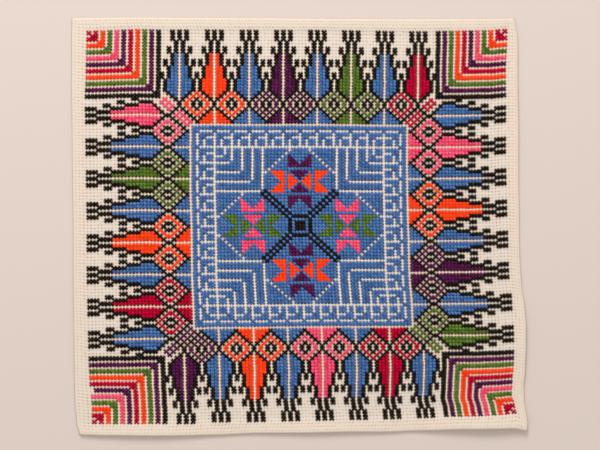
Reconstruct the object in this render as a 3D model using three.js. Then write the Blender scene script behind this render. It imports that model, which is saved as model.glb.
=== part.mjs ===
// A hand-embroidered square of even-weave cotton, lying face up with its hem turned under all round.
// Millimetres, +Z up. The origin is on the table, under the middle of the cloth's outline.

import * as THREE from "three";

// The stitched ground is one layer with stitches on both faces, the hem is two layers of bare cloth.
const groundThickness = 1.8;
const hemThickness = 2.2;
const hemWidth = 9.4;
const hemStep = 2.5; // how far in the hem thins to the ground
const foldRound = 0.7; // radius of the turned edge
const innerColumns = 34;
const innerRows = 32;

// The corners of the cloth, which was pulled a little out of square by the stitching.
const corners = {
  farLeft: [-153.5, 141.0],
  farRight: [145.2, 140.6],
  nearRight: [153.3, -137.2],
  nearLeft: [-148.2, -140.1],
};

// How far each side bows out of the straight line between its corners.
// The far and near sides run from the left corner, the left and right sides from the far corner.
const bows = {
  far: [
    { share: 0, out: 0 },
    { share: 0.135, out: 0.35 },
    { share: 0.4, out: 0 },
    { share: 0.61, out: -0.5 },
    { share: 0.74, out: -0.6 },
    { share: 0.94, out: -0.4 },
    { share: 1, out: 0 },
  ],
  right: [
    { share: 0, out: 0 },
    { share: 0.05, out: 1.8 },
    { share: 0.2, out: 0.9 },
    { share: 0.44, out: -0.5 },
    { share: 0.58, out: -1.1 },
    { share: 0.65, out: -0.4 },
    { share: 0.7, out: 1.1 },
    { share: 0.74, out: 1.5 },
    { share: 0.78, out: 1.0 },
    { share: 0.85, out: 0.2 },
    { share: 0.89, out: -0.9 },
    { share: 0.93, out: -0.9 },
    { share: 0.98, out: 0.5 },
    { share: 1, out: 0 },
  ],
  near: [
    { share: 0, out: 0 },
    { share: 0.06, out: 0.5 },
    { share: 0.2, out: 1.2 },
    { share: 0.31, out: 1.0 },
    { share: 0.4, out: 0.1 },
    { share: 0.5, out: 0.1 },
    { share: 0.6, out: -0.3 },
    { share: 0.69, out: 0.1 },
    { share: 0.77, out: -0.6 },
    { share: 0.86, out: -1.5 },
    { share: 0.97, out: -1.6 },
    { share: 1, out: 0 },
  ],
  left: [
    { share: 0, out: 0 },
    { share: 0.06, out: 0.6 },
    { share: 0.2, out: 1.2 },
    { share: 0.44, out: 1.7 },
    { share: 0.68, out: 2.4 },
    { share: 0.92, out: 2.9 },
    { share: 0.97, out: 2.0 },
    { share: 1, out: 0 },
  ],
};

// Soft lifts of the cloth off the table, each centred at x, y, with its height and its reach each way.
const lifts = [
  { x: -105, y: -146, height: 2.2, reachX: 75, reachY: 20 },
  { x: 20, y: -144, height: 1.9, reachX: 70, reachY: 18 },
  { x: 128, y: -146, height: 4.6, reachX: 62, reachY: 36 },
  { x: 160, y: -78, height: 2.8, reachX: 22, reachY: 42 },
  { x: -160, y: -60, height: 1.2, reachX: 16, reachY: 70 },
  { x: 156, y: 60, height: 0.8, reachX: 14, reachY: 80 },
];

// The value of a table's column at a share of its length, eased from row to row.
function alongTable(rows, share) {
  const end = rows.findIndex((row) => row.share >= share);
  if (end <= 0) return rows[0].out;
  const [from, to] = [rows[end - 1], rows[end]];
  const step = THREE.MathUtils.smoothstep(share, from.share, to.share);
  return THREE.MathUtils.lerp(from.out, to.out, step);
}

// A point on one side of the cloth: its corners' line, moved outwards by its bow.
function sidePoint(start, end, rows, share, outwards) {
  const from = new THREE.Vector2(...start);
  const to = new THREE.Vector2(...end);
  return from.lerp(to, share).addScaledVector(outwards, alongTable(rows, share));
}

// A point of the outline's patch: across runs left to right, down runs far to near, both 0 to 1.
function patchPoint(across, down) {
  const { farLeft, farRight, nearRight, nearLeft } = corners;
  const far = sidePoint(farLeft, farRight, bows.far, across, new THREE.Vector2(0, 1));
  const near = sidePoint(nearLeft, nearRight, bows.near, across, new THREE.Vector2(0, -1));
  const left = sidePoint(farLeft, nearLeft, bows.left, down, new THREE.Vector2(-1, 0));
  const right = sidePoint(farRight, nearRight, bows.right, down, new THREE.Vector2(1, 0));
  const farLine = new THREE.Vector2(...farLeft).lerp(new THREE.Vector2(...farRight), across);
  const nearLine = new THREE.Vector2(...nearLeft).lerp(new THREE.Vector2(...nearRight), across);
  return far
    .lerp(near, down)
    .add(left.lerp(right, across))
    .sub(farLine.lerp(nearLine, down));
}

// The height of the cloth's underside above the table, zero over most of it.
function liftAt(point) {
  const heights = lifts.map(({ x, y, height, reachX, reachY }) => {
    const away = Math.hypot((point.x - x) / reachX, (point.y - y) / reachY);
    return height * (1 - THREE.MathUtils.smoothstep(away, 0, 1));
  });
  return Math.hypot(...heights);
}

// The shares of a side at which the sheet has a line of points, closer together over its hem.
function stations(length, innerCount) {
  const hemLines = [0, foldRound, hemWidth - hemStep, hemWidth].map((x) => x / length);
  const first = hemLines.at(-1);
  const inner = Array.from(
    { length: innerCount - 1 },
    (_, i) => first + ((i + 1) * (1 - 2 * first)) / innerCount,
  );
  return [...hemLines, ...inner, ...hemLines.map((share) => 1 - share).reverse()];
}

const width = corners.farRight[0] - corners.farLeft[0];
const depth = corners.farLeft[1] - corners.nearLeft[1];
const acrossLines = stations(width, innerColumns);
const downLines = stations(depth, innerRows);

// How thick the sheet is at a distance from its outline.
function thicknessAt(inset) {
  const step = THREE.MathUtils.smoothstep(inset, hemWidth - hemStep, hemWidth);
  return THREE.MathUtils.lerp(hemThickness, groundThickness, step);
}

// The sheet as one closed shell: an upper and a lower grid that meet on the outline, halfway up.
function sheetGeometry() {
  const positions = [];
  const faces = [];
  const columns = acrossLines.length;
  const rows = downLines.length;
  const upper = [];
  const lower = [];
  const addPoint = (point, z) => positions.push(point.x, point.y, z) / 3 - 1;

  downLines.forEach((down, row) => {
    acrossLines.forEach((across, column) => {
      const point = patchPoint(across, down);
      const lift = liftAt(point);
      const inset = Math.min(across, 1 - across) * width;
      const insetDown = Math.min(down, 1 - down) * depth;
      const thickness = thicknessAt(Math.min(inset, insetDown));
      const isRim = row === 0 || column === 0 || row === rows - 1 || column === columns - 1;
      if (isRim) {
        const rim = addPoint(point, lift + thickness / 2);
        upper.push(rim);
        lower.push(rim);
      } else {
        upper.push(addPoint(point, lift + thickness));
        lower.push(addPoint(point, lift));
      }
    });
  });

  // Each square's diagonal points at the nearest corner, so that no corner folds flat.
  for (let row = 0; row < rows - 1; row += 1) {
    for (let column = 0; column < columns - 1; column += 1) {
      const a = row * columns + column;
      const square = [a, a + columns, a + columns + 1, a + 1];
      const turned = row < rows / 2 !== column < columns / 2;
      const [p, q, r, s] = turned ? [...square.slice(1), a] : square;
      faces.push(upper[p], upper[q], upper[r], upper[p], upper[r], upper[s]);
      faces.push(lower[p], lower[r], lower[q], lower[p], lower[s], lower[r]);
    }
  }

  const geometry = new THREE.BufferGeometry();
  geometry.setAttribute("position", new THREE.Float32BufferAttribute(positions, 3));
  geometry.setIndex(faces);
  geometry.computeVertexNormals();
  return geometry;
}

const cream = new THREE.MeshStandardMaterial({ color: 0xeee2d0, roughness: 0.92, metalness: 0 });

const cloth = new THREE.Mesh(sheetGeometry(), cream);
cloth.name = "cloth";

const embroidery = new THREE.Group();
embroidery.add(cloth);

export default embroidery;
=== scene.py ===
# A tatreez square: even-weave cotton with a turned hem, covered in counted cross-stitch.
# Lengths in the tables are millimetres, and every mesh is made in metres.
import math

import bpy
import numpy as np
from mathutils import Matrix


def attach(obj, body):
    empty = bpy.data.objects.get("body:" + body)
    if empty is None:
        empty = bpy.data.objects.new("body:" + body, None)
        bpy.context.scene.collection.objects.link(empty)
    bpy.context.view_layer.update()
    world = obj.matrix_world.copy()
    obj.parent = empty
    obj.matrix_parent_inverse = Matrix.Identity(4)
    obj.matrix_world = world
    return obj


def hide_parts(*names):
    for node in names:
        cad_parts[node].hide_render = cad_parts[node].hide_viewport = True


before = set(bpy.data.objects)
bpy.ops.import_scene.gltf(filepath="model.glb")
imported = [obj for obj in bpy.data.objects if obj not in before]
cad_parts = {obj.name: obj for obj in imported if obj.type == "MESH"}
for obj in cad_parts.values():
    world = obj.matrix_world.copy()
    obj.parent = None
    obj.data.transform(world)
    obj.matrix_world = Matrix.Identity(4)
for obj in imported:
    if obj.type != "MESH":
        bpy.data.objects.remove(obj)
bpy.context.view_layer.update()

mm = 0.001
stitchCount = 123  # stitches across and down the embroidery
marginCount = 4  # stitches of bare cloth between the embroidery and the folded edge
weaveCount = stitchCount + 2 * marginCount
last = stitchCount - 1
middle = last // 2
panelStart = 30  # the first stitch of the blue panel, from each side

# Corners, and how far each side bows outwards at a share of its length.
# The far and near sides run from the left, the left and right sides from the far end.
clothOutline = {
    "farLeft": (-153.5, 141.0),
    "farRight": (145.2, 140.6),
    "nearRight": (153.3, -137.2),
    "nearLeft": (-148.2, -140.1),
    "far": {0: 0, 0.135: 0.35, 0.4: 0, 0.61: -0.5, 0.74: -0.6, 0.94: -0.4, 1: 0},
    "right": {
        0: 0, 0.05: 1.8, 0.2: 0.9, 0.44: -0.5, 0.58: -1.1, 0.65: -0.4, 0.7: 1.1, 0.74: 1.5,
        0.78: 1.0, 0.85: 0.2, 0.89: -0.9, 0.93: -0.9, 0.98: 0.5, 1: 0,
    },
    "near": {
        0: 0, 0.06: 0.5, 0.2: 1.2, 0.31: 1.0, 0.4: 0.1, 0.5: 0.1, 0.6: -0.3, 0.69: 0.1,
        0.77: -0.6, 0.86: -1.5, 0.97: -1.6, 1: 0,
    },
    "left": {0: 0, 0.06: 0.6, 0.2: 1.2, 0.44: 1.7, 0.68: 2.4, 0.92: 2.9, 0.97: 2.0, 1: 0},
}

# The same for the edge of the embroidery.
stitchedOutline = {
    "farLeft": (-143.1, 131.9),
    "farRight": (139.6, 133.0),
    "nearRight": (146.3, -125.2),
    "nearLeft": (-139.5, -132.3),
    "far": {0: 0, 0.127: 0.8, 0.2: 0.1, 0.5: -0.6, 0.8: -1.7, 0.88: -1.3, 0.96: -0.9, 1: 0},
    "right": {
        0: 0, 0.127: -1.9, 0.4: -3.4, 0.47: -3.4, 0.55: -3.1, 0.63: -3.0, 0.71: -1.5,
        0.79: -1.1, 0.86: -1.3, 0.92: -2.4, 0.95: -3.0, 0.98: -0.9, 1: 0,
    },
    "near": {
        0: 0, 0.12: 0.85, 0.24: 1.7, 0.29: 1.0, 0.39: 1.4, 0.55: 1.4, 0.71: 1.55,
        0.79: 1.3, 0.84: 0.9, 0.91: 1.0, 0.965: 0.6, 1: 0,
    },
    "left": {
        0: 0, 0.06: 0.55, 0.12: 1.0, 0.17: 1.8, 0.5: 1.65, 0.835: 1.5, 0.9: 1.1,
        0.93: 0.3, 0.96: -0.1, 1: 0,
    },
}

# The stitches aren't evenly wide: the share of a side at which a stitch count lies.
stitchSpread = {
    "far": {0: 0, 26.5: 0.2226, 46.5: 0.3893, 61.5: 0.5115, 76.5: 0.6325, 96.5: 0.792, 118: 0.9584, 123: 1},
    "near": {0: 0, 26.5: 0.2252, 46.5: 0.3902, 61.5: 0.5117, 76.5: 0.6313, 96.5: 0.79, 123: 1},
    "left": {0: 0, 26.5: 0.2168, 61.5: 0.5, 96.5: 0.7845, 123: 1},
    "right": {0: 0, 4: 0.0351, 26.5: 0.2191, 61.5: 0.5037, 96.5: 0.7893, 123: 1},
}

# How far the weave is pulled from where its four sides would put it: each row is one stitch count
# down, with the pull to the right and away at each of the counts across.
weavePull = {
    "across": (0, 29.5, 61.5, 93.5, 123),
    "rows": {
        0: ((0.2, -0.6, -0.8, -0.7, -0.1), (-0.4, 0.2, 0.4, 0.2, 0)),
        15: ((0.2, 0, 0, 0.2, 0), (0, 0.3, 0.2, 0, -0.3)),
        29.5: ((0.3, 0.5, 0, -0.4, -0.2), (0.6, 0.5, 0.5, 0.2, -0.3)),
        50: ((0.2, -0.2, -1.1, -0.6, 0.1), (0.5, 0.6, 0.5, 0.1, -0.7)),
        61.5: ((0.3, 0, -1.0, -0.7, 0), (0.2, 0.5, 0.5, 0.2, -0.6)),
        77.5: ((-0.3, -0.4, -1.0, -0.7, -0.2), (-0.1, 0.5, 0.4, 0.1, -0.5)),
        100: ((0.1, -0.1, -0.5, -0.5, 0.1), (-0.6, 0.5, 0.6, -0.1, -1.1)),
        110: ((0.2, -0.2, -0.1, 0, -0.3), (-0.4, 0.1, 0.1, -0.3, -0.8)),
        123: ((0.3, -1.1, -0.9, -1.0, -0.8), (0, 0.2, 0, -0.1, 0.2)),
    },
}

# Soft lifts of the cloth off the table: x, y, height, reach along x, reach along y.
lifts = (
    (-105, -146, 2.2, 75, 20),
    (20, -144, 1.9, 70, 18),
    (128, -146, 4.6, 62, 36),
    (160, -78, 2.8, 22, 42),
    (-160, -60, 1.2, 16, 70),
    (156, 60, 0.8, 14, 80),
)


def smoothStep(value, low, high):
    share = np.clip((value - low) / (high - low), 0, 1)
    return share * share * (3 - 2 * share)


def alongTable(rows, share):
    places = np.array(list(rows))
    outs = np.array(list(rows.values()))
    row = np.clip(np.searchsorted(places, share), 1, len(places) - 1)
    step = smoothStep(share, places[row - 1], places[row])
    return outs[row - 1] + (outs[row] - outs[row - 1]) * step


def spreadAt(side, count):
    rows = stitchSpread[side]
    return np.interp(count, list(rows), list(rows.values()))


def between(start, end, share):
    return start + (end - start) * share


def patchPoint(outline, across, down):
    # The smooth sheet between four bowed sides, at shares from the left and from the far side.
    corner = {name: np.array(outline[name]) for name in ("farLeft", "farRight", "nearRight", "nearLeft")}
    across = np.asarray(across)[..., None]
    down = np.asarray(down)[..., None]
    farLine = between(corner["farLeft"], corner["farRight"], across)
    nearLine = between(corner["nearLeft"], corner["nearRight"], across)
    leftLine = between(corner["farLeft"], corner["nearLeft"], down)
    rightLine = between(corner["farRight"], corner["nearRight"], down)
    far = farLine + alongTable(outline["far"], across) * np.array((0, 1))
    near = nearLine - alongTable(outline["near"], across) * np.array((0, 1))
    left = leftLine - alongTable(outline["left"], down) * np.array((1, 0))
    right = rightLine + alongTable(outline["right"], down) * np.array((1, 0))
    return between(far, near, down) + between(left, right, across) - between(farLine, nearLine, down)


def weavePullAt(across, down):
    columns = np.array(weavePull["across"])
    rows = np.array(list(weavePull["rows"]))
    net = np.array(list(weavePull["rows"].values()))
    row = np.clip(np.searchsorted(rows, down) - 1, 0, len(rows) - 2)
    column = np.clip(np.searchsorted(columns, across) - 1, 0, len(columns) - 2)
    rowShare = (down - rows[row]) / (rows[row + 1] - rows[row])
    columnShare = (across - columns[column]) / (columns[column + 1] - columns[column])
    pull = []
    for way in (0, 1):
        farValue = between(net[row, way, column], net[row, way, column + 1], columnShare)
        nearValue = between(net[row + 1, way, column], net[row + 1, way, column + 1], columnShare)
        pull.append(between(farValue, nearValue, rowShare))
    return np.stack(pull, -1)


def weavePoint(across, down):
    # Where a count of stitches from the embroidery's far left corner lies, in millimetres.
    heldAcross = np.clip(across, 0, stitchCount)
    heldDown = np.clip(down, 0, stitchCount)
    nearness = heldDown / stitchCount
    rightness = heldAcross / stitchCount
    acrossShare = between(spreadAt("far", heldAcross), spreadAt("near", heldAcross), nearness)
    downShare = between(spreadAt("left", heldDown), spreadAt("right", heldDown), rightness)
    stitched = patchPoint(stitchedOutline, acrossShare, downShare) + weavePullAt(heldAcross, heldDown)

    def clothAt(column, row):
        shares = [(place + marginCount) / weaveCount for place in (column, row)]
        return patchPoint(clothOutline, *shares)

    beyond = np.maximum(np.abs(across - heldAcross), np.abs(down - heldDown)) / marginCount
    pulled = stitched - clothAt(heldAcross, heldDown)
    return clothAt(across, down) + pulled * (1 - beyond)[..., None]


def liftAt(points):
    total = 0
    for x, y, height, reachX, reachY in lifts:
        away = np.hypot((points[..., 0] - x) / reachX, (points[..., 1] - y) / reachY)
        total = total + (height * (1 - smoothStep(away, 0, 1))) ** 2
    return np.sqrt(total)


cornerLines = {
    2: "crimson", 4: "orange", 6: "green", 8: "pink", 10: "purple",
    12: "crimson", 14: "orange", 16: "green", 18: "purple", 20: "black",
}

# Half of one cypress tree with its share of the diamond below, a row of stitches for each line.
# K is the black outline, T the tree and D the diamond. The last column is shared with the next tree.
treeHalf = (
    "K.K... K.K... K.K... .K.... .K.... .K.K.. .K.K.. .TK... .TK... .TK.K. .TK.K. .TTK.. .TTK.. "
    ".TTK.K .TTK.K .TTTK. .TTTK. .TTTK. .TTTK. .TTK.D .TK.D. .K.D.K K.D.K. K.D.K. .K.D.K .TK.D. "
    ".TTK.D .TTTK. .TTTTK"
).split()

treeColours = {
    "far": "blue orange blue purple blue green blue crimson",
    "right": "blue pink blue orange blue purple blue green",
    "near": "purple blue orange blue pink blue crimson blue",
    "left": "pink blue green blue orange blue crimson blue",
}
treeStarts = 26
treeStep = 10
treeReach = 5
mitreDepth = 21
cornerColours = {"farLeft": "pink", "farRight": "crimson", "nearRight": "green", "nearLeft": "purple"}


def fromSide(side, along, depth):
    # The row and column of a stitch that lies along a side, at a depth from that side.
    return {
        "far": (depth, along),
        "right": (along, last - depth),
        "near": (last - depth, along),
        "left": (along, depth),
    }[side]


def fromCorner(corner, row, column):
    # The row and column of a stitch that is counted from one of the four corners.
    return (
        row if corner.startswith("far") else last - row,
        column if corner.endswith("Left") else last - column,
    )


def chartCorner(chart, corner):
    for row in range(mitreDepth):
        for column in range(mitreDepth):
            line = max(row, column)
            place = fromCorner(corner, row, column)
            if line == 0:
                chart[place] = cornerLines[2]
            elif line % 2 == 0:
                chart[place] = cornerLines[line]
            elif row == column:
                chart[place] = cornerLines[line + 1]


def diamondColour(trees, gap):
    # A diamond takes the colour of the tree beside it that isn't blue.
    return trees[gap] if trees[gap] != "blue" else trees[gap + 1]


def chartBand(chart, side):
    trees = treeColours[side].split()
    for number, tree in enumerate(trees):
        for depth, line in enumerate(treeHalf):
            for away in range(-treeReach, treeReach + 1):
                mark = line[abs(away)]
                gap = number if away > 0 else number - 1
                inMitre = not 0 <= gap < len(trees) - 1
                isEndTree = number in (0, len(trees) - 1)
                if mark == "D" and not inMitre:
                    colour = diamondColour(trees, gap)
                elif mark == "T" and not (isEndTree and depth > mitreDepth):
                    colour = tree
                elif mark == "K" and not (inMitre and away and depth >= mitreDepth):
                    colour = "black"
                else:
                    continue
                chart[fromSide(side, treeStarts + treeStep * number + away, depth)] = colour


def chartMitre(chart, corner):
    def both(row, column, colour):
        chart[fromCorner(corner, row, column)] = colour
        chart[fromCorner(corner, column, row)] = colour

    both(21, 25, "black")
    both(24, 25, "black")
    for row in (21, 22, 23, 25, 26, 27, 28):
        both(row, row + 1, cornerColours[corner])


def mirrored(row, column):
    for corner in cornerColours:
        yield fromCorner(corner, row, column)


def panelOpenings():
    # The stitches that are left out of the blue panel, so that the cloth draws its lines.
    low, high = panelStart + 1, last - panelStart - 1
    frameLine = 36
    steps = range(frameLine, last - frameLine + 1, 5)
    bare = set()
    # The dashed line outside and the frame within it.
    for place in range(low, high + 1):
        if (place - low) % 5:
            bare |= {(low, place), (high, place), (place, low), (place, high)}
    for place in range(low + 1, high):
        for line in (frameLine, last - frameLine):
            bare |= {(line, place), (place, line)}
    # The bars that join the two, each with its hook.
    for at in steps:
        for depth in range(low + 1, frameLine + 1):
            bare |= {fromSide(side, at, depth) for side in treeColours}
        for depth, away in ((33, -2), (33, -1), (34, -3), (35, -3)):
            bare |= {fromSide(side, at + away, depth) for side in ("far", "left", "right")}
        for depth, away in ((33, 1), (33, 2), (34, 3), (35, 3)):
            bare.add(fromSide("near", at + away, depth))
    for depth, along in ((33, 34), (33, 35), (34, 33), (35, 33)):
        bare.add(fromSide("near", along, depth))
    # The nested corners inside the frame, and the lozenge round the star.
    for line in (39, 41, 44, 47, 50):
        for place in range(37, line):
            bare |= set(mirrored(line, place)) | set(mirrored(place, line))
    for step in range(8):
        bare |= set(mirrored(37 + step, 58 - step)) | set(mirrored(58 - step, 37 + step))
    return bare


def chartStar(chart, row, column, upright, level):
    def mark(along, aside, colour, turned):
        place = (row + aside, column + along) if turned else (row + along, column + aside)
        chart[place] = colour

    for colour, turned in ((upright, False), (level, True)):
        for along in range(-8, 9):
            reach = abs(along)
            for aside in range(-3, 4):
                nearTip = 1 <= reach <= 3 and abs(aside) < reach
                farTip = 5 <= reach and abs(aside) >= reach - 5
                if nearTip or farTip:
                    mark(along, aside, colour, turned)


def chartCentre(chart):
    for row in range(-11, 12):
        for column in range(-11, 12):
            far = max(abs(row), abs(column))
            isChain = abs(abs(row) - abs(column)) == 1 and far >= 4
            isRing = far == 3 and abs(row) != abs(column)
            if far <= 1 or isRing or isChain:
                chart[(middle + row, middle + column)] = "black"


def makeChart():
    chart = {}
    panel = range(panelStart, last - panelStart + 1)
    for row in panel:
        for column in panel:
            chart[(row, column)] = "blue"
    for place in panelOpenings():
        chart.pop(place, None)
    for side in treeColours:
        chartBand(chart, side)
    for corner in cornerColours:
        chartCorner(chart, corner)
        chartMitre(chart, corner)
    for away in (-14, 14):
        chartStar(chart, middle + away, middle, "purple", "orange")
        chartStar(chart, middle, middle + away, "pink", "green")
    chartCentre(chart)
    del chart[(last - 10, 0)]  # one stitch was never made
    return chart


chart = makeChart()
print("chart:", len(chart), "stitches")


class Wire:
    # A socket of a material's nodes, with the arithmetic that the finishes use.
    def __init__(self, tree, socket=None):
        self.tree = tree
        self.socket = socket

    def node(self, kind, settings=None, inputs=None, output=0):
        made = self.tree.nodes.new(kind)
        for name, value in (settings or {}).items():
            setattr(made, name, value)
        for name, value in (inputs or {}).items():
            if isinstance(value, Wire):
                self.tree.links.new(value.socket, made.inputs[name])
            else:
                made.inputs[name].default_value = value
        return Wire(self.tree, made.outputs[output] if made.outputs else None)

    def maths(self, operation, *values):
        return self.node("ShaderNodeMath", {"operation": operation}, dict(enumerate(values)))

    def least(self, other):
        return self.maths("MINIMUM", self, other)

    def __add__(self, other):
        return self.maths("ADD", self, other)

    __radd__ = __add__

    def __sub__(self, other):
        return self.maths("SUBTRACT", self, other)

    def __rsub__(self, other):
        return self.maths("SUBTRACT", other, self)

    def __mul__(self, other):
        return self.maths("MULTIPLY", self, other)

    __rmul__ = __mul__

    def __pow__(self, other):
        return self.maths("POWER", self, other)

    def fraction(self):
        return self.maths("FRACT", self)

    def whole(self):
        return self.maths("FLOOR", self)

    def fromWhole(self):
        # How far a number is from the nearest whole one.
        return self.maths("PINGPONG", self, 0.5)

    def wave(self):
        return self.maths("SINE", self * (2 * math.pi)) * 0.5 + 0.5

    def eased(self, low, high):
        settings = {"interpolation_type": "SMOOTHSTEP"}
        inputs = {"Value": self, "From Min": low, "From Max": high}
        return self.node("ShaderNodeMapRange", settings, inputs)

    def mixed(self, first, second):
        # This wire says how much of the second colour covers the first.
        return self.node("ShaderNodeMix", {"data_type": "RGBA"}, {0: self, 6: first, 7: second}, 2)


def linear(colour):
    # A colour written 0 to 255, as the shader's own light values.
    parts = [part / 255 for part in colour]
    parts = [part / 12.92 if part <= 0.04045 else ((part + 0.055) / 1.055) ** 2.4 for part in parts]
    return (*parts, 1.0)


def newFinish(name):
    finish = bpy.data.materials.new(name)
    finish.use_nodes = True
    finish.node_tree.nodes.clear()
    return finish, Wire(finish.node_tree)


def closeFinish(tools, inputs):
    surface = tools.node("ShaderNodeBsdfPrincipled", {}, inputs)
    tools.node("ShaderNodeOutputMaterial", {}, {"Surface": surface})


def meshObject(name, points, faces, uvs, finish):
    # faces is a list of index arrays, each with one width, and uvs their corners' places on the map.
    mesh = bpy.data.meshes.new(name)
    corners = np.concatenate([part.ravel() for part in faces])
    starts = []
    first = 0
    for part in faces:
        starts.append(first + np.arange(len(part)) * part.shape[1])
        first += part.size
    starts = np.concatenate(starts)
    mesh.vertices.add(len(points))
    mesh.vertices.foreach_set("co", (points * mm).astype(np.float32).ravel())
    mesh.loops.add(len(corners))
    mesh.loops.foreach_set("vertex_index", corners.astype(np.int32))
    mesh.polygons.add(len(starts))
    mesh.polygons.foreach_set("loop_start", starts.astype(np.int32))
    mesh.update(calc_edges=True)
    mesh.polygons.foreach_set("use_smooth", np.ones(len(starts), bool))
    layer = mesh.uv_layers.new(name="OFBake", do_init=False)
    layer.uv.foreach_set("vector", uvs.astype(np.float32).ravel())
    mesh.materials.append(finish)
    mesh.validate()
    made = bpy.data.objects.new(name, mesh)
    bpy.context.scene.collection.objects.link(made)
    return made


ground = {
    "colour": (224, 211, 197),
    "hemColour": (225, 209, 191),
    "foldLightColour": (230, 211, 194),
    "gapLightColour": (246, 212, 187),  # painted warm bounce light, where stitches lie close round it
    "blackGapLightColour": (255, 238, 214),  # the same painted light where those stitches are black
    "panelGapLightColour": (247, 230, 215),  # and in the blue panel, from this many stitches in
    "panelInset": 33.5,
    # Painted shade in the grooves and holes of the weave.
    "grooveShadeColour": (201, 172, 144),
    "holeShadeColour": (178, 140, 113),
    # Where each of these starts and ends, in stitches, or in the share of a place's neighbours.
    "foldEnds": (0.3, 0.75),
    "hemColourEnds": (3.4, 4.2),
    "holeEnds": (0.12, 0.36),
    "rowGrooveEnds": (0.0, 0.18),
    "columnGrooveEnds": (0.0, 0.12),
    "gapEnds": (0.1, 0.7),
    "blackGapEnds": (0.1, 0.6),
    "blockTop": 1.2,
    "underside": 0.38,
    "hemTop": 1.95,
    "rim": 0.3,  # height of the outline, where the hem is folded
    "hemEnds": (2.6, 5.2),  # stitches from the outline over which the hem thins to the ground
    "turnedEdge": (3.7, 3.95),  # the same on the underside, in a step
    "edgeShift": 0.72,  # how far the weave's third line moves in to meet that step
    "foldReach": 0.38,  # stitches from the outline to the flat of the hem
    "holeDepth": 0.35,
    "threadedDepth": 1.0,  # of a hole that has thread through it
    "holeReach": 0.25,  # share of a stitch from a hole's middle to its rim
    "pillow": 0.07,  # how far the middle of a bare block stands up
    "pressed": -0.1,  # and of one under a stitch
    "rowGroove": 0.12,
    "columnGroove": 0.05,
    "slack": 0.05,  # how far a hole wanders from its place
    "seed": 11,
}


def insetAt(across, down):
    return np.minimum.reduce(
        [
            across + marginCount,
            stitchCount + marginCount - across,
            down + marginCount,
            stitchCount + marginCount - down,
        ]
    )


def foldRound(inset):
    # 0 on the outline, 1 where the fold has flattened out.
    short = np.clip(1 - inset / ground["foldReach"], 0, 1)
    return np.sqrt(1 - short * short)


def upperAt(across, down):
    inset = insetAt(across, down)
    flat = between(ground["hemTop"], ground["blockTop"], smoothStep(inset, *ground["hemEnds"]))
    return between(ground["rim"], flat, foldRound(inset))


def lowerAt(across, down):
    inset = insetAt(across, down)
    flat = ground["underside"] * smoothStep(inset, *ground["turnedEdge"])
    return between(ground["rim"], flat, foldRound(inset))


def wovenGrid():
    # The holes of the weave, each a little out of place, and the fold's own line round them.
    lines = np.arange(weaveCount + 1) - marginCount
    across, down = np.meshgrid(lines, lines)
    points = weavePoint(across.astype(float), down.astype(float))
    wander = np.random.default_rng(ground["seed"]).normal(0, ground["slack"], points.shape)
    inside = (insetAt(across, down) > 0)[..., None]
    return across, down, points + wander * inside


holeAcross, holeDown, holePoints = wovenGrid()
stitchedCells = np.zeros((weaveCount, weaveCount), bool)
blackCells = np.zeros((weaveCount, weaveCount), bool)
for (row, column), colour in chart.items():
    stitchedCells[row + marginCount, column + marginCount] = True
    blackCells[row + marginCount, column + marginCount] = colour == "black"


def crowdAt(across, down, counted):
    # The share of counted cells in the nine round a place, from 0 in open cloth to 1.
    padded = np.pad(counted.astype(float), 2)
    size = weaveCount + 2
    corners = list(np.ndindex(3, 3))
    share = sum(padded[row:row + size, column:column + size] for row, column in corners) / len(corners)
    column = np.clip(across + marginCount + 0.5, 0, size - 1.001)
    row = np.clip(down + marginCount + 0.5, 0, size - 1.001)
    left, top = column.astype(int), row.astype(int)
    farValue = between(share[top, left], share[top, left + 1], column - left)
    nearValue = between(share[top + 1, left], share[top + 1, left + 1], column - left)
    return between(farValue, nearValue, row - top)


def hemLine(lines):
    # On the underside the third line from the outline moves in, to the edge of the turned hem.
    side = np.where(lines < stitchCount / 2, 1, -1)
    fromEdge = np.minimum(lines + marginCount, stitchCount + marginCount - lines)
    return np.where(fromEdge == 3, lines + ground["edgeShift"] * side, lines).astype(float)


def edgeFans(under, level, upright):
    # The underside's cells on the outline, which take in its rim points, as fans of triangles.
    fans = []
    end = weaveCount - 1
    for row, column in np.ndindex(weaveCount, weaveCount):
        if row not in (0, end) and column not in (0, end):
            continue
        ring = [under[row, column]]
        if row == 0:
            ring += [level[0][0, column], level[1][0, column]]
        ring.append(under[row, column + 1])
        if column == end:
            ring += [upright[0][row, -1], upright[1][row, -1]]
        ring.append(under[row + 1, column + 1])
        if row == end:
            ring += [level[1][-1, column], level[0][-1, column]]
        ring.append(under[row + 1, column])
        if column == 0:
            ring += [upright[1][row, 0], upright[0][row, 0]]
        # The fan opens from the corner that lies furthest from the outline.
        pivot = max(ring, key=lambda index: 0 if index < under.size else index)
        turn = ring.index(pivot)
        ring = ring[turn:] + ring[:turn]
        fans += [(ring[0], ring[i], ring[i + 1]) for i in range(1, len(ring) - 1)]
    return np.array(fans)


# Of the lines of a grid, those on the far or left side of each cell, and those on its near or right.
before = slice(None, -1)
after = slice(1, None)


def cellCorners(grid):
    # A grid's values at the far left, far right, near right and near left of every cell.
    return grid[before, before], grid[before, after], grid[after, after], grid[after, before]


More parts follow.
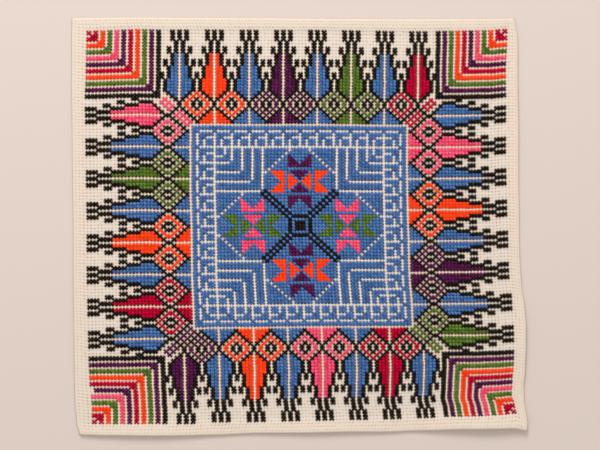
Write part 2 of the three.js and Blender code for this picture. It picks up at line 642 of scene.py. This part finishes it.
def blockTriangles(hole, level, upright, centre):
    # The upper side of each block: rounded to the rims of its holes where cloth shows, plain elsewhere.
    corners = dict(zip(("farLeft", "farRight", "nearRight", "nearLeft"), cellCorners(hole)))
    # Each side of a cell: its two corners and the two rim points between them, in turn.
    sides = {
        "left": ("farLeft", "nearLeft", upright[0][:, before], upright[1][:, before]),
        "near": ("nearLeft", "nearRight", level[0][after, :], level[1][after, :]),
        "right": ("nearRight", "farRight", upright[1][:, after], upright[0][:, after]),
        "far": ("farRight", "farLeft", level[1][before, :], level[0][before, :]),
    }
    bare = ~stitchedCells
    around = np.pad(bare, 1, constant_values=True)  # bare cells with a margin of bare ones
    beside = {
        "left": around[1:-1, :-2], "right": around[1:-1, 2:],
        "far": around[:-2, 1:-1], "near": around[2:, 1:-1],
    }
    triangles = []

    def addTriangles(mask, *indices):
        triangles.append(np.stack([index[mask] for index in indices], -1))

    order = ("left", "near", "right", "far")
    for number, name in enumerate(order):
        start, end, first, second = sides[name]
        following = sides[order[(number + 1) % 4]][2]
        addTriangles(bare, centre, first, second)
        addTriangles(bare, centre, second, following)
        addTriangles(bare, corners[end], following, second)
        fine = stitchedCells & beside[name]
        addTriangles(fine, centre, corners[start], first)
        addTriangles(fine, centre, first, second)
        addTriangles(fine, centre, second, corners[end])
        addTriangles(stitchedCells & ~beside[name], centre, corners[start], corners[end])
    return np.concatenate(triangles)


def groundMesh(finish):
    reach = ground["holeReach"]
    points = []
    places = []
    count = 0

    def addPoints(across, down, xy, z):
        nonlocal count
        lift = liftAt(xy)
        points.append(np.dstack([xy, z + lift]).reshape(-1, 3))
        places.append(np.dstack([across, down]).reshape(-1, 2))
        index = np.arange(count, count + across.size).reshape(across.shape)
        count += across.size
        return index

    # Holes, with none on the outline.
    inset = insetAt(holeAcross, holeDown)
    isThreaded = np.any(cellCorners(np.pad(stitchedCells, 1)), axis=0)
    depth = np.where(isThreaded, ground["threadedDepth"], ground["holeDepth"])
    z = upperAt(holeAcross, holeDown) - depth * (inset > 0)
    hole = addPoints(holeAcross, holeDown, holePoints, z)

    # Two points on each side of a block, at the rims of its holes.
    def rims(stepAcross, stepDown, groove, pick, other):
        made = []
        for share in (reach, 1 - reach):
            across = holeAcross[pick] + share * stepAcross
            down = holeDown[pick] + share * stepDown
            xy = between(holePoints[pick], holePoints[other], share)
            dip = ground[groove] * (insetAt(across, down) > 0)
            made.append(addPoints(across, down, xy, upperAt(across, down) - dip))
        return made

    level = rims(1, 0, "rowGroove", (slice(None), before), (slice(None), after))
    upright = rims(0, 1, "columnGroove", (before, slice(None)), (after, slice(None)))

    # The middle of each block: a pillow where it is bare, pressed flat under a stitch.
    across = holeAcross[before, before] + 0.5
    down = holeDown[before, before] + 0.5
    farSide = holePoints[before, before] + holePoints[before, after]
    xy = (farSide + holePoints[after, before] + holePoints[after, after]) / 4
    z = upperAt(across, down) + np.where(stitchedCells, ground["pressed"], ground["pillow"])
    centre = addPoints(across, down, xy, z)

    # The underside, whose hem ends in a steep step.
    underAcross = hemLine(holeAcross)
    underDown = hemLine(holeDown)
    xy = weavePoint(underAcross, underDown)
    under = addPoints(underAcross, underDown, xy, lowerAt(underAcross, underDown))
    under = np.where(inset == 0, hole, under)

    triangles = blockTriangles(hole, level, upright, centre)

    # The underside's cells face down, as plain quads away from the outline.
    inside = slice(1, -1)
    quads = np.stack([index[inside, inside].ravel() for index in cellCorners(under)], -1)
    triangles = np.concatenate([triangles, edgeFans(under, level, upright)])

    points = np.concatenate(points)
    places = np.concatenate(places)
    used, flat = np.unique(np.concatenate([triangles.ravel(), quads.ravel()]), return_inverse=True)
    triangles, quads = flat[: triangles.size].reshape(-1, 3), flat[triangles.size:].reshape(-1, 4)
    points, places = points[used], places[used]
    order = np.concatenate([triangles.ravel(), quads.ravel()])
    uvs = (places[order] + marginCount) / weaveCount
    uvs[:, 1] = 1 - uvs[:, 1]
    made = meshObject("cloth_ground", points, [triangles, quads], uvs, finish)
    for name, counted in (("crowd", stitchedCells), ("besideBlack", blackCells)):
        share = made.data.attributes.new(name, "FLOAT", "POINT")
        share.data.foreach_set("value", crowdAt(*places.T, counted).astype(np.float32))
    print("cloth:", len(triangles) + 2 * len(quads), "triangles")
    return made


def groundFinish():
    finish, tools = newFinish("even_weave_cotton")
    place = tools.node("ShaderNodeUVMap", {"uv_map": "OFBake"})
    split = "ShaderNodeSeparateXYZ"
    across = tools.node(split, {}, {0: place}, 0) * weaveCount
    down = tools.node(split, {}, {0: place}, 1) * weaveCount
    fromUpright = across.fromWhole()
    fromLevel = down.fromWhole()
    fromHole = (fromUpright * fromUpright + fromLevel * fromLevel) ** 0.5
    inset = across.least(weaveCount - across).least(down.least(weaveCount - down))
    onFold = 1 - inset.eased(*ground["foldEnds"])
    onHem = 1 - inset.eased(*ground["hemColourEnds"])
    # The painted shade in the hem's holes grows pale towards the fold.
    openness = 0.25 + inset.eased(1.2, 3.8) * 0.75
    hole = (1 - fromHole.eased(*ground["holeEnds"])) * openness * (1 - onFold)
    rowGroove = (1 - fromLevel.eased(*ground["rowGrooveEnds"])) * 0.4
    columnGroove = (1 - fromUpright.eased(*ground["columnGrooveEnds"])) * 0.3
    groove = rowGroove + columnGroove

    grain = tools.node("ShaderNodeTexNoise", {}, {"Vector": place, "Scale": 210.0, "Detail": 3.0})
    broad = tools.node("ShaderNodeTexNoise", {}, {"Vector": place, "Scale": 9.0, "Detail": 2.0})
    colour = onHem.mixed(linear(ground["colour"]), linear(ground["hemColour"]))
    crowd = tools.node("ShaderNodeAttribute", {"attribute_name": "crowd"}, {}, 2)
    # Painted warm bounce light on the cloth where stitches lie close round it, with its own tones in the
    # blue panel and beside black stitches.
    inPanel = inset.eased(ground["panelInset"], ground["panelInset"] + 0.5)
    gap = inPanel.mixed(linear(ground["gapLightColour"]), linear(ground["panelGapLightColour"]))
    besideBlack = tools.node("ShaderNodeAttribute", {"attribute_name": "besideBlack"}, {}, 2)
    gap = besideBlack.eased(*ground["blackGapEnds"]).mixed(gap, linear(ground["blackGapLightColour"]))
    colour = crowd.eased(*ground["gapEnds"]).mixed(colour, gap)
    # Painted shade in the grooves and holes, deeper where stitches crowd round; some holes and the grooves
    # round them are darker than others.
    nearest = tools.node(
        "ShaderNodeCombineXYZ", {}, {0: (across + 0.5).whole(), 1: (down + 0.5).whole()}
    )
    lot = tools.node("ShaderNodeTexWhiteNoise", {"noise_dimensions": "3D"}, {"Vector": nearest})
    unevenGrooveShade = groove * (0.2 + grain * 0.6 + lot * 0.8) * (1 + crowd * 0.5)
    colour = unevenGrooveShade.mixed(colour, linear(ground["grooveShadeColour"]))
    colour = (hole * (0.15 + lot * 0.6)).mixed(colour, linear(ground["holeShadeColour"]))
    colour = (broad * 0.12).mixed(colour, linear(ground["hemColour"]))
    # Painted light on the rounded fold at the outline, lighter and warmer than the cloth.
    colour = onFold.mixed(colour, linear(ground["foldLightColour"]))

    ribs = (across * 2).wave() * (down * 2 + 0.25).wave()
    height = ribs * 0.25 + grain * 0.35 - hole * 0.9 - groove * (1 - onFold)
    bump = tools.node(
        "ShaderNodeBump", {}, {"Strength": 0.5, "Distance": 0.16 * mm, "Height": height}
    )
    closeFinish(tools, {"Base Color": colour, "Roughness": 0.92, "Normal": bump})
    return finish


threads = {
    # A strand's width by how many of the four stitches round it are there, and what each of them
    # adds in its own row and its own column.
    "widths": (1.09, 1.09, 1.09, 0.98, 1.36),
    "alongRow": 0.06,
    "alongColumn": -0.04,
    # How much strands differ from one another.
    "widthDiffers": 0.09,
    "thickDiffers": 0.05,
    "sway": 0.07,
    "rise": 0.03,
    # The black stitches were worked last, so their under and over legs lie over the others' ends.
    "blackLift": (0.3, 0.1),
    "seed": 23,
    # Each strand takes one tile of the map: further across where it is crowded, and by its leg down.
    "tilesAcross": 8,
    "tilesDown": 16,
    "tileMargin": 0.04,
    "crowdDiffers": 0.7,
    "crowdEnds": (0.35, 1.0),  # share of stitched neighbours over which a strand's painted shade and painted highlight grow
    "plies": 7,  # turns of the twist that show along one leg
    # Shares of a leg's length from its far end and of its girth from its far foot, where its ends
    # and flanks take painted shade.
    "farEnd": (0.02, 0.22),
    "nearEnd": (0.64, 0.92),
    "farFlank": (0.08, 0.3),
    "nearFlank": (0.42, 0.66),
    # Each thread in painted shade, in its body, and in painted light where it catches the light.
    "tones": {
        "black": ((4, 2, 2), (15, 11, 9), (54, 42, 37)),
        "blue": ((12, 22, 52), (64, 105, 164), (108, 154, 216)),
        "orange": ((240, 18, 6), (255, 66, 18), (255, 100, 44)),
        "crimson": ((84, 0, 12), (190, 0, 42), (236, 8, 66)),
        "pink": ((206, 0, 50), (255, 60, 104), (255, 132, 164)),
        "purple": ((36, 0, 28), (70, 10, 55), (122, 48, 103)),
        "green": ((32, 42, 4), (66, 101, 27), (130, 158, 68)),
    },
}

# Where a leg goes in its stitch, from hole to hole, and its shape on the way: share of the way,
# how much wider it is than in its middle, its height over the cloth. Its tips go down in the holes.
legs = {
    "over": {
        "start": (0, 0), "end": (1, 1), "thick": 0.55, "tip": -0.6, "tiles": (0, 8),
        "rings": ((-0.07, 1.0, 0.14), (0.18, 0.0, 0.5), (0.82, 0.0, 0.5), (1.07, 1.0, 0.14)),
    },
    "under": {
        "start": (0, 1), "end": (1, 0), "thick": 0.5, "tip": -0.6, "tiles": (8, 13),
        "rings": ((-0.07, 1.0, 0.12), (0.18, 0.0, 0.3), (0.82, 0.0, 0.3), (1.07, 1.0, 0.12)),
    },
    "backUpright": {
        "start": (0, 0), "end": (0, 1), "thick": 0.4, "tip": 0.3, "tiles": (13, 16),
        "rings": ((0.15, -0.1, -0.14), (0.85, -0.1, -0.14)),
    },
    "backLevel": {
        "start": (0, 0), "end": (1, 0), "thick": 0.4, "tip": 0.3, "tiles": (13, 16),
        "rings": ((0.15, -0.1, -0.14), (0.85, -0.1, -0.14)),
    },
}

# A strand's cut face from its far foot over the top: sideways and up, as shares of width and thickness.
strandFace = np.array(((0.5, -0.3), (0.25, 0.5), (-0.25, 0.5), (-0.5, -0.3)))


def strandTemplate(ringShares):
    # The faces of one strand and their corners' places in its tile.
    sides = len(strandFace)
    rings = len(ringShares)
    tail, head = rings * sides, rings * sides + 1
    quads, quadPlaces, tips, tipPlaces = [], [], [], []
    for side in range(sides):
        following = (side + 1) % sides
        low, high = side / sides, (side + 1) / sides
        for ring in range(rings - 1):
            start, end = ring * sides, (ring + 1) * sides
            quads.append((start + side, start + following, end + following, end + side))
            first, second = ringShares[ring], ringShares[ring + 1]
            quadPlaces += [(first, low), (first, high), (second, high), (second, low)]
        tips.append((tail, following, side))
        tipPlaces += [(0.0, (low + high) / 2), (ringShares[0], high), (ringShares[0], low)]
        top = (rings - 1) * sides
        tips.append((head, top + side, top + following))
        tipPlaces += [(1.0, (low + high) / 2), (ringShares[-1], low), (ringShares[-1], high)]
    return np.array(quads), np.array(quadPlaces), np.array(tips), np.array(tipPlaces)


def legStrands(kind, cells, chance):
    # One strand for each cell: its points, faces and places on the thread's map.
    leg = legs[kind]
    rings = np.array(leg["rings"])
    cells = np.array(cells) + marginCount
    many = len(cells)
    ends = []
    for across, down in (leg["start"], leg["end"]):
        row, column = cells[:, 0] + down, cells[:, 1] + across
        xy = holePoints[row, column]
        isBack = kind.startswith("back")
        level = lowerAt if isBack else upperAt
        z = level(holeAcross[row, column], holeDown[row, column]) + liftAt(xy)
        ends.append(np.column_stack([xy, z]))
    start, end = ends
    way = end[:, :2] - start[:, :2]
    way /= np.linalg.norm(way, axis=1, keepdims=True)
    sideways = np.column_stack([-way[:, 1], way[:, 0]])
    beside = ((0, 1), (0, -1), (1, 0), (-1, 0))
    besides = [stitchedCells[cells[:, 0] + down, cells[:, 1] + across] * 1 for down, across in beside]
    inRow, inColumn = besides[0] + besides[1], besides[2] + besides[3]
    spread = threads["alongRow"] * inRow + threads["alongColumn"] * inColumn
    width = np.array(threads["widths"])[sum(besides)] + spread
    width = width * chance.normal(1, threads["widthDiffers"], many)
    thick = leg["thick"] * chance.normal(1, threads["thickDiffers"], many)
    sway = chance.normal(0, threads["sway"], (many, 1)) * np.sin(math.pi * rings[:, 0])
    rise = rings[:, 2] + chance.normal(0, threads["rise"], (many, len(rings)))

    middleLine = start[:, None, :] + (end - start)[:, None, :] * rings[:, 0][:, None]
    middleLine[..., 2] += rise
    middleLine[..., :2] += sway[..., None] * sideways[:, None, :]
    aside = strandFace[:, 0] * (rings[:, 1][:, None] + width[:, None, None])
    up = strandFace[:, 1] * thick[:, None, None] * np.ones(len(rings))[:, None]
    points = middleLine[:, :, None, :] + np.zeros(len(strandFace))[:, None]
    points[..., :2] += aside[..., None] * sideways[:, None, None, :]
    points[..., 2] += up
    tips = np.stack([start, end], 1)
    tips[..., 2] += leg["tip"]
    points = np.concatenate([points.reshape(many, -1, 3), tips], 1)

    quads, quadPlaces, tipFaces, tipPlaces = strandTemplate(np.clip(rings[:, 0], 0, 1))
    offset = np.arange(many)[:, None, None] * points.shape[1]
    tileDown = chance.integers(*leg["tiles"], many)
    lastTile = threads["tilesAcross"] - 1
    pressed = crowdAt(cells[:, 1] - marginCount + 0.5, cells[:, 0] - marginCount + 0.5, stitchedCells)
    tileAcross = np.rint(pressed * lastTile + chance.normal(0, threads["crowdDiffers"], many))
    tileAcross = np.clip(tileAcross, 0, lastTile)
    corner = np.column_stack([tileAcross, tileDown])[:, None, :]
    size = np.array((threads["tilesAcross"], threads["tilesDown"]))

    def placed(places):
        margin = threads["tileMargin"]
        return (corner + margin + (1 - 2 * margin) * places) / size

    return points.reshape(-1, 3), quads + offset, placed(quadPlaces), tipFaces + offset, placed(tipPlaces)


def joinedStrands(name, colour, cells, finish):
    chance = np.random.default_rng(threads["seed"] + len(cells))
    inPiece = set(cells)
    cells = sorted(inPiece)
    # On the back, rows leave upright bars and single columns leave level ones.
    inRow = [c for c in cells if {(c[0], c[1] - 1), (c[0], c[1] + 1)} & inPiece]
    inColumn = [c for c in cells if c not in set(inRow)]
    rowEnds = [(c[0], c[1] + 1) for c in inRow if (c[0], c[1] + 1) not in inPiece]
    parts = [legStrands("under", cells, chance), legStrands("over", cells, chance)]
    if colour == "black":
        for part, lift in zip(parts, threads["blackLift"]):
            part[0][:, 2] += lift
    parts.append(legStrands("backUpright", inRow + rowEnds, chance))
    if inColumn:
        parts.append(legStrands("backLevel", inColumn, chance))
    faces = [[], []]
    places = [[], []]
    first = 0
    for points, quads, quadPlaces, tips, tipPlaces in parts:
        faces[0].append(quads.reshape(-1, 4) + first)
        faces[1].append(tips.reshape(-1, 3) + first)
        places[0].append(quadPlaces.reshape(-1, 2))
        places[1].append(tipPlaces.reshape(-1, 2))
        first += len(points)
    points = np.concatenate([part[0] for part in parts])
    faces = [np.concatenate(kind) for kind in faces]
    uvs = np.concatenate([np.concatenate(kind) for kind in places])
    made = meshObject(name, points, faces, uvs, finish)
    print(name + ":", len(cells), "stitches,", 2 * len(faces[0]) + len(faces[1]), "triangles")
    return made


def threadFinish(name, tones):
    finish, tools = newFinish(name + "_cotton_thread")
    place = tools.node("ShaderNodeUVMap", {"uv_map": "OFBake"})
    split = "ShaderNodeSeparateXYZ"
    across = tools.node(split, {}, {0: place}, 0) * threads["tilesAcross"]
    down = tools.node(split, {}, {0: place}, 1) * threads["tilesDown"]
    along, girth = across.fraction(), down.fraction()
    tile = tools.node("ShaderNodeCombineXYZ", {}, {0: across.whole(), 1: down.whole()})
    shade = tools.node("ShaderNodeTexWhiteNoise", {"noise_dimensions": "3D"}, {"Vector": tile})
    twist = (along * threads["plies"] + girth * 2).wave()
    hair = tools.node("ShaderNodeTexNoise", {}, {"Vector": place, "Scale": 160.0, "Detail": 2.0})
    deep = 1 - twist.eased(0.0, 0.55)
    # The over legs' tiles come first, and run from the stitch's far hole. The others run to it.
    overTiles = legs["over"]["tiles"][1]
    isUnder = down.whole().eased(overTiles - 0.8, overTiles - 0.2)
    nearer = isUnder * (1 - along) + (1 - isUnder) * along
    pressed = (across.whole() * (1 / (threads["tilesAcross"] - 1))).eased(*threads["crowdEnds"])
    end = (1 - nearer.eased(*threads["farEnd"])) * 0.85 + nearer.eased(*threads["nearEnd"])
    nearFlank = girth.eased(*threads["nearFlank"])
    farFlank = 1 - girth.eased(*threads["farFlank"])
    crest = (1 - nearFlank) * (1 - end) * (1 - nearer.eased(0.3, 0.8) * 0.5)
    # Painted highlight along its crest, painted shade between its plies, on its flanks and where it goes
    # down in a hole, the more so in a crowd.
    paintedShadeTone, bodyTone, litTone = (linear(tone) for tone in tones)
    toned = (shade * 0.35).mixed(bodyTone, litTone)
    toned = (deep * 0.35 + hair * 0.15).mixed(toned, paintedShadeTone)
    toned = (crest * (pressed * 0.25 + shade * 0.5)).mixed(toned, litTone)
    toned = (nearFlank * (0.15 + pressed * 0.55)).mixed(toned, paintedShadeTone)
    toned = (farFlank * pressed * 0.6).mixed(toned, paintedShadeTone)
    toned = (end * (0.1 + pressed * 0.9)).mixed(toned, paintedShadeTone)
    height = twist * 0.6 + hair * 0.5
    bump = tools.node(
        "ShaderNodeBump", {}, {"Strength": 0.6, "Distance": 0.1 * mm, "Height": height}
    )
    closeFinish(
        tools,
        {
            "Base Color": toned,
            "Roughness": 0.42 + deep * 0.25,
            "Specular IOR Level": 0.03,
            "Normal": bump,
        },
    )
    return finish


def isInPanel(cell):
    return all(panelStart <= way <= last - panelStart for way in cell)


def stitchPieces():
    pieces = {}
    for cell, colour in chart.items():
        half = "far" if cell[0] <= middle else "near"
        if colour == "blue":
            name = f"blue_panel_{half}" if isInPanel(cell) else "blue_trees"
        elif colour == "black":
            name = f"black_outline_{half}"
        else:
            name = colour + "_stitches"
        pieces.setdefault((name, colour), []).append(cell)
    made = []
    finishes = {name: threadFinish(name, tones) for name, tones in threads["tones"].items()}
    for (name, colour), cells in sorted(pieces.items()):
        made.append(joinedStrands(name, colour, cells, finishes[colour]))
    return made


cloth = groundMesh(groundFinish())
stitches = stitchPieces()
for piece in [cloth, *stitches]:
    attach(piece, "root")
    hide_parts("cloth")

studio = {
    "floorColour": (215, 199, 189),
    "floorReach": 3000,
    "world": 0.73,
    "lampPower": 16.7,
    "lampSize": 0.6,
    "lampPlace": (-0.25, 1.25, 1.05),  # in metres, from the middle of the cloth
    "lens": 80,
    "sensor": 36,
    "viewWidth": 403.8,  # what the camera takes in from side to side
    "viewCentre": (0.4, 1.35),
    "clothLevel": 1.8,  # the height at which it does
}


def makeFloor():
    finish, tools = newFinish("plain_floor")
    closeFinish(tools, {"Base Color": linear(studio["floorColour"]), "Roughness": 0.8})
    reach = studio["floorReach"]
    points = np.array(((-reach, -reach, 0), (reach, -reach, 0), (reach, reach, 0), (-reach, reach, 0)))
    uvs = np.array(((0, 0), (1, 0), (1, 1), (0, 1)), float)
    floor = meshObject("floor", points, [np.array(((0, 1, 2, 3),))], uvs, finish)


def makeLight():
    data = bpy.data.lights.new("far_window", "AREA")
    data.shape = "SQUARE"
    data.size = studio["lampSize"]
    data.energy = studio["lampPower"]
    lamp = bpy.data.objects.new("far_window", data)
    lamp.location = studio["lampPlace"]
    direction = -lamp.location
    lamp.rotation_euler = direction.to_track_quat("-Z", "Y").to_euler()
    bpy.context.scene.collection.objects.link(lamp)


def makeWorld():
    world = bpy.data.worlds.new("studio")
    world.use_nodes = True
    world.node_tree.nodes.clear()
    tools = Wire(world.node_tree)
    isSeen = tools.node("ShaderNodeLightPath")
    sky = tools.node("ShaderNodeBackground", {}, {"Color": (1, 1, 1, 1), "Strength": studio["world"]})
    backdrop = tools.node(
        "ShaderNodeBackground", {}, {"Color": linear(studio["floorColour"]), "Strength": 1.0}
    )
    mixed = tools.node("ShaderNodeMixShader", {}, {0: isSeen, 1: sky, 2: backdrop})
    tools.node("ShaderNodeOutputWorld", {}, {"Surface": mixed})
    bpy.context.scene.world = world


def makeCamera():
    data = bpy.data.cameras.new("camera")
    data.lens = studio["lens"]
    data.sensor_width = studio["sensor"]
    camera = bpy.data.objects.new("camera", data)
    above = studio["viewWidth"] * studio["lens"] / studio["sensor"] + studio["clothLevel"]
    x, y = studio["viewCentre"]
    camera.location = (x * mm, y * mm, above * mm)
    bpy.context.scene.collection.objects.link(camera)
    bpy.context.scene.camera = camera


makeFloor()
makeLight()
makeWorld()
makeCamera()
print("studio: floor, far lamp, world and camera")
bpy.context.scene.view_settings.view_transform = "Standard"
